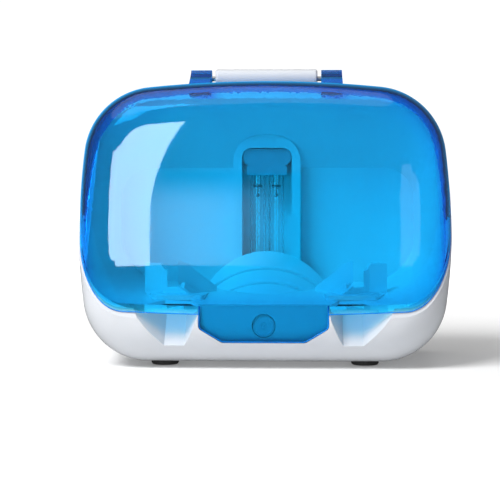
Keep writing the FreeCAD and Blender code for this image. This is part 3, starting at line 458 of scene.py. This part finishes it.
# %% Small mouldings
dress(finish("lamp_base", (0.36, 0.42, 0.47), (0.46, 0.52, 0.57),
             0.003, (0.35, 0.55), 0.0003, 1e-5),
      "lamp_cap", "lamp_socket")
plunger_grey = dress(
    finish("plunger_grey", (0.34, 0.46, 0.50), (0.42, 0.55, 0.59),
           0.004, (0.3, 0.45), 0.0003, 1e-5),
    "safety_plunger")
dress(finish("black_plastic", (0.02, 0.02, 0.022), (0.05, 0.05, 0.055),
             0.003, (0.35, 0.6), 0.0003, 2e-5),
      "safety_switch", "dc_inlet")
rubber_black = dress(
    finish("rubber_black", (0.018, 0.018, 0.02), (0.05, 0.05, 0.05),
           0.002, (0.6, 0.85), 0.0002, 3e-5),
    *FEET)
wire_white = dress(
    finish("wire_white", (0.72, 0.72, 0.69), (0.84, 0.84, 0.81),
           0.004, (0.45, 0.6), 0.0003, 1e-5),
    "lamp_leads")
dress(finish("wire_red", (0.42, 0.03, 0.025), (0.58, 0.06, 0.045),
             0.004, (0.4, 0.55), 0.0003, 1e-5),
      "switch_lead", "power_lead")

# %% [markdown]
# ## Metals
#
# Zinc plating is bright but cloudy, music wire is darker, and the lamp's nickel
# posts are nearly grey. Their gloss drifts over a millimetre or two.

# %% Metal parts
steel = dress(
    finish("steel", (0.55, 0.56, 0.58), (0.70, 0.70, 0.69),
           0.002, (0.22, 0.42), 0.0002, 6e-6, 1.0),
    "hinge_pin_left", "hinge_pin_right", "board_screws", "rear_screws")
dress(finish("spring_steel", (0.42, 0.42, 0.44), (0.60, 0.60, 0.61),
             0.001, (0.2, 0.38), 0.0002, 5e-6, 1.0),
      "plunger_spring")
electrode = dress(
    finish("electrode", (0.20, 0.20, 0.22), (0.38, 0.38, 0.40),
           0.001, (0.3, 0.5), 0.0001, 5e-6, 1.0),
    "lamp_electrodes")

# %% [markdown]
# ## Electronics
#
# The solder mask is green, with copper tracks that show through it as paler
# lines: a brick pattern has the right corners for that. The transformer is
# wound with yellow tape, whose turns are bands along it. A capacitor has a
# dark sleeve.


# %% Pattern over a finish
def overlay(material, pattern_output, color):
    """Paint a pattern's pale part over the colour of a finish."""
    tree = material.node_tree
    base = tree.nodes["Principled BSDF"]
    below = base.inputs["Base Color"].links[0].from_socket
    paint = tree.nodes.new("ShaderNodeMix")
    paint.data_type = "RGBA"
    paint.inputs["B"].default_value = (*color, 1)
    tree.links.new(below, paint.inputs["A"])
    tree.links.new(pattern_output, paint.inputs["Factor"])
    tree.links.new(paint.outputs["Result"], base.inputs["Base Color"])


def pattern(material, kind, turn=(0, 0, 0)):
    """A texture node on turned Object coordinates."""
    tree = material.node_tree
    place = tree.nodes.new("ShaderNodeTexCoord")
    turned = tree.nodes.new("ShaderNodeMapping")
    turned.inputs["Rotation"].default_value = turn
    tree.links.new(place.outputs["Object"], turned.inputs["Vector"])
    texture = tree.nodes.new(kind)
    tree.links.new(turned.outputs["Vector"], texture.inputs["Vector"])
    return texture


# %% Board, transformer, capacitors
board_green = finish("board_green", (0.02, 0.17, 0.07), (0.04, 0.24, 0.10),
                     0.006, (0.25, 0.4), 0.0005, 8e-6)
tracks = pattern(board_green, "ShaderNodeTexBrick", (math.pi / 2, 0, 0))
tracks.inputs["Scale"].default_value = 90
tracks.inputs["Mortar Size"].default_value = 0.05
overlay(board_green, tracks.outputs["Fac"], (0.12, 0.42, 0.16))
dress(board_green, "circuit_board")

transformer_tape = finish("transformer_tape", (0.62, 0.47, 0.06), (0.74, 0.58, 0.10),
                          0.004, (0.3, 0.45), 0.0004, 1e-5)
turns = pattern(transformer_tape, "ShaderNodeTexWave")
turns.bands_direction = "Z"
turns.inputs["Scale"].default_value = 160
turns.inputs["Distortion"].default_value = 0.4
overlay(transformer_tape, turns.outputs["Fac"], (0.50, 0.36, 0.04))
dress(transformer_tape, "ballast_transformer")

dress(finish("capacitor_can", (0.02, 0.03, 0.08), (0.05, 0.06, 0.13),
             0.003, (0.22, 0.35), 0.0005, 6e-6),
      "capacitors")

# %% [markdown]
# ## Geometry Nodes for what repeats
#
# A coil, ribs round a foot, solder joints, small resistors, cable ties and a
# woven dust mesh are each one small shape said again and again, or one profile
# drawn along a path. Two kinds of tree do all of this: one sweeps a round wire
# along a curve or along the edges of a mesh, the other sets a little shape on
# every point of a mesh. The result is turned into a plain mesh before it joins
# the object.


# %% Tree helpers
def new_tree(name, numbers):
    """A geometry tree with one named float input for each number."""
    tree = bpy.data.node_groups.new(name, "GeometryNodeTree")
    tree.interface.new_socket(name="Geometry", in_out="INPUT", socket_type="NodeSocketGeometry")
    sockets = {}
    for number in numbers:
        sockets[number] = tree.interface.new_socket(
            name=number, in_out="INPUT", socket_type="NodeSocketFloat").identifier
    tree.interface.new_socket(name="Geometry", in_out="OUTPUT", socket_type="NodeSocketGeometry")
    return tree, sockets, tree.nodes.new("NodeGroupInput"), tree.nodes.new("NodeGroupOutput")


def end_tree(tree, geometry, outlet, material):
    """Close a tree with Realize Instances and Set Material."""
    real = tree.nodes.new("GeometryNodeRealizeInstances")
    coat = tree.nodes.new("GeometryNodeSetMaterial")
    coat.inputs["Material"].default_value = material
    tree.links.new(geometry, real.inputs["Geometry"])
    tree.links.new(real.outputs["Geometry"], coat.inputs["Geometry"])
    tree.links.new(coat.outputs["Geometry"], outlet.inputs["Geometry"])


def grow(source, tree, values, name, body):
    """Run a tree on an object and keep its result as one plain piece."""
    modifier = source.modifiers.new("grow", "NODES")
    modifier.node_group = tree
    for identifier, value in values.items():
        modifier[identifier] = value
    bpy.context.view_layer.update()
    seen = source.evaluated_get(bpy.context.evaluated_depsgraph_get())
    mesh = bpy.data.meshes.new_from_object(seen)
    mesh.name = name
    source.modifiers.remove(modifier)
    bpy.data.objects.remove(source)
    work = bmesh.new()
    work.from_mesh(mesh)
    bmesh.ops.remove_doubles(work, verts=work.verts, dist=1e-6)
    bmesh.ops.recalc_face_normals(work, faces=work.faces)
    work.to_mesh(mesh)
    work.free()
    for face in mesh.polygons:
        face.use_smooth = True
    piece = bpy.data.objects.new(name, mesh)
    scene.collection.objects.link(piece)
    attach(piece, body)
    print(name, len(mesh.polygons), "faces")
    return piece


# %% Tree that sweeps a wire
def wire_tree(name, material, sides=10, from_edges=False):
    """A tree that draws a round wire along a curve, or along a mesh's edges."""
    tree, sockets, inlet, outlet = new_tree(name, ["Wire Radius"])
    curve = inlet.outputs["Geometry"]
    if from_edges:
        to_curve = tree.nodes.new("GeometryNodeMeshToCurve")
        tree.links.new(curve, to_curve.inputs["Mesh"])
        curve = to_curve.outputs["Curve"]
    ring = tree.nodes.new("GeometryNodeCurvePrimitiveCircle")
    ring.inputs["Resolution"].default_value = sides
    sweep = tree.nodes.new("GeometryNodeCurveToMesh")
    sweep.inputs["Fill Caps"].default_value = True
    tree.links.new(inlet.outputs["Wire Radius"], ring.inputs["Radius"])
    tree.links.new(curve, sweep.inputs["Curve"])
    tree.links.new(ring.outputs["Curve"], sweep.inputs["Profile Curve"])
    end_tree(tree, sweep.outputs["Mesh"], outlet, material)
    return tree, sockets


def paths(name, lines, closed=False):
    """A curve object with one straight-segment spline for each list of points."""
    curve = bpy.data.curves.new(name, "CURVE")
    curve.dimensions = "3D"
    for points in lines:
        spline = curve.splines.new("POLY")
        spline.points.add(len(points) - 1)
        for point, place in zip(spline.points, points):
            point.co = (*place, 1)
        spline.use_cyclic_u = closed
    made = bpy.data.objects.new(name, curve)
    scene.collection.objects.link(made)
    return made


def circle(steps, radius):
    """Points of a circle round the origin, as pairs."""
    angles = [2 * math.pi * step / steps for step in range(steps)]
    return [(radius * math.cos(angle), radius * math.sin(angle)) for angle in angles]


# %% Tree that repeats a shape
def repeat_tree(name, shape, size_inputs, material):
    """Set one primitive on every point; the shape's inputs come from outside."""
    tree, sockets, inlet, outlet = new_tree(name, list(size_inputs))
    grain = tree.nodes.new(shape)
    for number, target in size_inputs.items():
        if target in ("X", "Y", "Z"):
            continue
        tree.links.new(inlet.outputs[number], grain.inputs[target])
    axes = {target: number for number, target in size_inputs.items() if target in ("X", "Y", "Z")}
    if axes:
        size = tree.nodes.new("ShaderNodeCombineXYZ")
        for axis, number in axes.items():
            tree.links.new(inlet.outputs[number], size.inputs[axis])
        tree.links.new(size.outputs["Vector"], grain.inputs["Size"])
    spread = tree.nodes.new("GeometryNodeInstanceOnPoints")
    turn = tree.nodes.new("GeometryNodeInputNamedAttribute")
    turn.data_type = "FLOAT_VECTOR"
    turn.inputs["Name"].default_value = "turn"
    tree.links.new(inlet.outputs["Geometry"], spread.inputs["Points"])
    tree.links.new(grain.outputs["Mesh"], spread.inputs["Instance"])
    tree.links.new(turn.outputs["Attribute"], spread.inputs["Rotation"])
    end_tree(tree, spread.outputs["Instances"], outlet, material)
    return tree, sockets


def points_object(name, places, turns):
    """Loose vertices that each remember the turn of what will stand there."""
    mesh = bpy.data.meshes.new(name)
    mesh.from_pydata([tuple(p) for p in places], [], [])
    stored = mesh.attributes.new("turn", "FLOAT_VECTOR", "POINT")
    for index, turn in enumerate(turns):
        stored.data[index].vector = turn
    made = bpy.data.objects.new(name, mesh)
    scene.collection.objects.link(made)
    return made


# %% [markdown]
# ## Filaments
#
# Each leg of the lamp has a coiled tungsten filament between two posts. The
# model has a plain rod there, and a fine helix round it makes it a coil.

# %% Filament coils
tube_low, tube_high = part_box("lamp_tube")
lamp_depth = (tube_low[1] + tube_high[1]) / 2
leg_radius = 4 * MM
leg_middle = tube_high[0] - leg_radius
filament_level = 87.4 * MM
coil_radius, coil_turns, coil_half, steps_per_turn = 0.72 * MM, 12, 2.2 * MM, 12


def coil_points(middle_x):
    """A helix along X round one leg's filament."""
    steps = coil_turns * steps_per_turn
    points = []
    for step in range(steps + 1):
        share = step / steps
        angle = 2 * math.pi * coil_turns * share
        points.append((middle_x + coil_half * (2 * share - 1),
                       lamp_depth + coil_radius * math.cos(angle),
                       filament_level + coil_radius * math.sin(angle)))
    return points


coil_tree, coil_sockets = wire_tree("filament_wire", electrode, 6)
grow(paths("filament_paths", [coil_points(leg_middle), coil_points(-leg_middle)]),
     coil_tree, {coil_sockets["Wire Radius"]: 0.11 * MM}, "filament_coils", "base")

# %% [markdown]
# ## Ribs round the feet
#
# Moulded rubber feet have fine upright ribs, so that they can be pressed home
# with wet fingers and grip in their seat.

# %% Foot ribs
ribs_per_foot, rib_level = 36, 1.6 * MM
rib_places, rib_turns = [], []
for foot in FEET:
    low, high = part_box(foot)
    centre_x, centre_y = (low[0] + high[0]) / 2, (low[1] + high[1]) / 2
    radius = (high[0] - low[0]) / 2
    for step, (x, y) in enumerate(circle(ribs_per_foot, radius)):
        rib_places.append((centre_x + x, centre_y + y, rib_level))
        rib_turns.append((0, 0, 2 * math.pi * step / ribs_per_foot))
rib_tree, rib_sockets = repeat_tree("foot_rib", "GeometryNodeMeshCube",
                                    {"Depth": "X", "Width": "Y", "Height": "Z"}, rubber_black)
grow(points_object("rib_points", rib_places, rib_turns), rib_tree,
     {rib_sockets["Depth"]: 0.5 * MM, rib_sockets["Width"]: 0.5 * MM,
      rib_sockets["Height"]: 1.5 * MM},
     "foot_ribs", "base")

# %% [markdown]
# ## What sits on the board
#
# Every lead that goes through the board ends in a small dome of solder on its
# back, and a row of little resistors stands under the transformer.

# %% Solder and resistors
board_low, board_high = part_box("circuit_board")
solder_rows, solder_columns, solder_margin, grid = 5, 8, 6, 4
solder_places = []
for row in range(solder_rows):
    for column in range(solder_columns):
        x = board_low[0] + (solder_margin + grid * column) * MM
        z = board_low[2] + (solder_margin + grid * row) * MM
        solder_places.append((x, board_high[1] + 0.1 * MM, z))
solder_tree, solder_sockets = repeat_tree("solder_dome", "GeometryNodeMeshIcoSphere",
                                          {"Radius": "Radius"}, steel)
grow(points_object("solder_points", solder_places, [(0, 0, 0)] * len(solder_places)), solder_tree,
     {solder_sockets["Radius"]: 0.5 * MM}, "solder_joints", "base")

resistor_brown = finish("resistor_brown", (0.40, 0.27, 0.16), (0.52, 0.38, 0.24),
                        0.001, (0.35, 0.5), 0.0002, 6e-6)
code_bands = pattern(resistor_brown, "ShaderNodeTexWave")
code_bands.bands_direction = "Z"
code_bands.inputs["Scale"].default_value = 260
overlay(resistor_brown, code_bands.outputs["Fac"], (0.12, 0.05, 0.03))
resistor_count, first_resistor = 5, 11
resistor_places = [(board_low[0] + (first_resistor + grid * i) * MM, board_low[1] - 0.8 * MM,
                    board_low[2] + grid * MM) for i in range(resistor_count)]
resistor_tree, resistor_sockets = repeat_tree(
    "resistor_body", "GeometryNodeMeshCylinder", {"Radius": "Radius", "Length": "Depth"},
    resistor_brown)
grow(points_object("resistor_points", resistor_places, [(0, 0, 0)] * resistor_count),
     resistor_tree,
     {resistor_sockets["Radius"]: 0.8 * MM, resistor_sockets["Length"]: 3.4 * MM},
     "board_resistors", "base")

# %% [markdown]
# ## Cable ties and the dust mesh
#
# The red lead runs up the back, tied at three places. Behind the row of vents
# is a woven mesh that keeps lint out.

# %% Ties round the lead
lead_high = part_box("switch_lead")[1]
lead_radius, tie_radius = 0.9 * MM, 1.15 * MM
lead_x, lead_y = lead_high[0] - lead_radius, lead_high[1] - lead_radius
tie_rings = [[(lead_x + x, lead_y + y, level) for x, y in circle(24, tie_radius)]
             for level in (0.040, 0.062, 0.084)]
tie_tree, tie_sockets = wire_tree("tie_band", wire_white, 8)
grow(paths("tie_paths", tie_rings, closed=True), tie_tree,
     {tie_sockets["Wire Radius"]: 0.35 * MM}, "cable_ties", "base")

# %% Dust mesh behind the vents
mesh_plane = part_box("rear_cover")[1][1] - 2.6 * MM
mesh_left, mesh_right, mesh_bottom, mesh_top = -0.0595, -0.0180, 0.060, 0.090
mesh_wires = []
pitch, weave = 1.3 * MM, 0.05 * MM
for index in range(int((mesh_right - mesh_left) / pitch) + 1):
    x = mesh_left + index * pitch
    mesh_wires.append([(x, mesh_plane, mesh_bottom), (x, mesh_plane, mesh_top)])
for index in range(int((mesh_top - mesh_bottom) / pitch) + 1):
    z = mesh_bottom + index * pitch
    mesh_wires.append([(mesh_left, mesh_plane + weave, z), (mesh_right, mesh_plane + weave, z)])
mesh_tree, mesh_sockets = wire_tree("mesh_wire", steel, 6)
grow(paths("mesh_paths", mesh_wires), mesh_tree,
     {mesh_sockets["Wire Radius"]: 0.14 * MM}, "dust_mesh", "base")

# %% [markdown]
# ## Gate mark on the plunger
#
# The plunger's face shows where the plastic came in: a low ring round a small
# pip, right in the middle. A wider ring follows the edge of the face.

# %% Plunger gate mark
plunger_low, plunger_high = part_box("safety_plunger")
plunger_level = (plunger_low[2] + plunger_high[2]) / 2
gate_depth = plunger_low[1] + 0.02 * MM
gate_rings = [[(x, gate_depth, plunger_level + z) for x, z in circle(48, radius * MM)]
              for radius in (1.3, 0.35, 4.5)]
gate_tree, gate_sockets = wire_tree("gate_ring", plunger_grey, 8)
grow(paths("gate_paths", gate_rings, closed=True), gate_tree,
     {gate_sockets["Wire Radius"]: 0.24 * MM}, "plunger_gate_mark", "plunger")

# %% [markdown]
# ## Painted blue line on the lid's edge
#
# Where a tinted lid ends, the light that has run along inside its wall comes
# out, and the edge shows as a thin line of strong blue. Here that line is painted
# light: a fine bead of deep blue, not a moulded part, stands in for it. The line
# follows the lid's own sharp outer edges, so it is read from the lid's mesh: a
# copy is merged, and the edges are kept where the face in front turns sharply
# into the edge's own face. The wire tree then sweeps the painted bead along them.

# %% Painted edge line of the lid
# painted light: the bead's deep blue stands in for the light that leaves the lid's edge
painted_edge_line = finish("painted_edge_line", (0.0, 0.16, 0.60), (0.0, 0.24, 0.74),
                  0.01, (0.08, 0.14), 0.001, 2e-6)
sharp, least_facing, hinge_zone = math.radians(55), 0.35, 12 * MM
lid_copy = bmesh.new()
lid_copy.from_mesh(nodes["lid"].data)
bmesh.ops.remove_doubles(lid_copy, verts=lid_copy.verts, dist=2e-6)
lid_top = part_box("lid")[1][2]
lid_centre = Vector((0, 0.02, 0.07))
edge_points, edge_lines = {}, []
for edge in lid_copy.edges:
    if len(edge.link_faces) != 2 or edge.calc_face_angle(0) < sharp:
        continue
    first, second = edge.verts
    halfway = (first.co + second.co) / 2
    outward = (halfway - lid_centre).normalized()
    facing = max(face.normal.dot(outward) for face in edge.link_faces)
    if facing < least_facing or halfway.z > lid_top - hinge_zone:
        continue
    for vert in (first, second):
        edge_points.setdefault(vert.index, (len(edge_points), vert.co.copy()))
    edge_lines.append((edge_points[first.index][0], edge_points[second.index][0]))
lid_copy.free()
bead_mesh = bpy.data.meshes.new("edge_lines")
bead_mesh.from_pydata([tuple(place) for _, place in edge_points.values()], edge_lines, [])
bead_source = bpy.data.objects.new("edge_lines", bead_mesh)
scene.collection.objects.link(bead_source)
print("edge bead follows", len(edge_lines), "edges")

bead_tree, bead_sockets = wire_tree("edge_bead", painted_edge_line, 8, from_edges=True)
grow(bead_source, bead_tree, {bead_sockets["Wire Radius"]: 0.26 * MM},
     "painted_edge_bead", "lid")

# %% Close the scene
low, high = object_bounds()
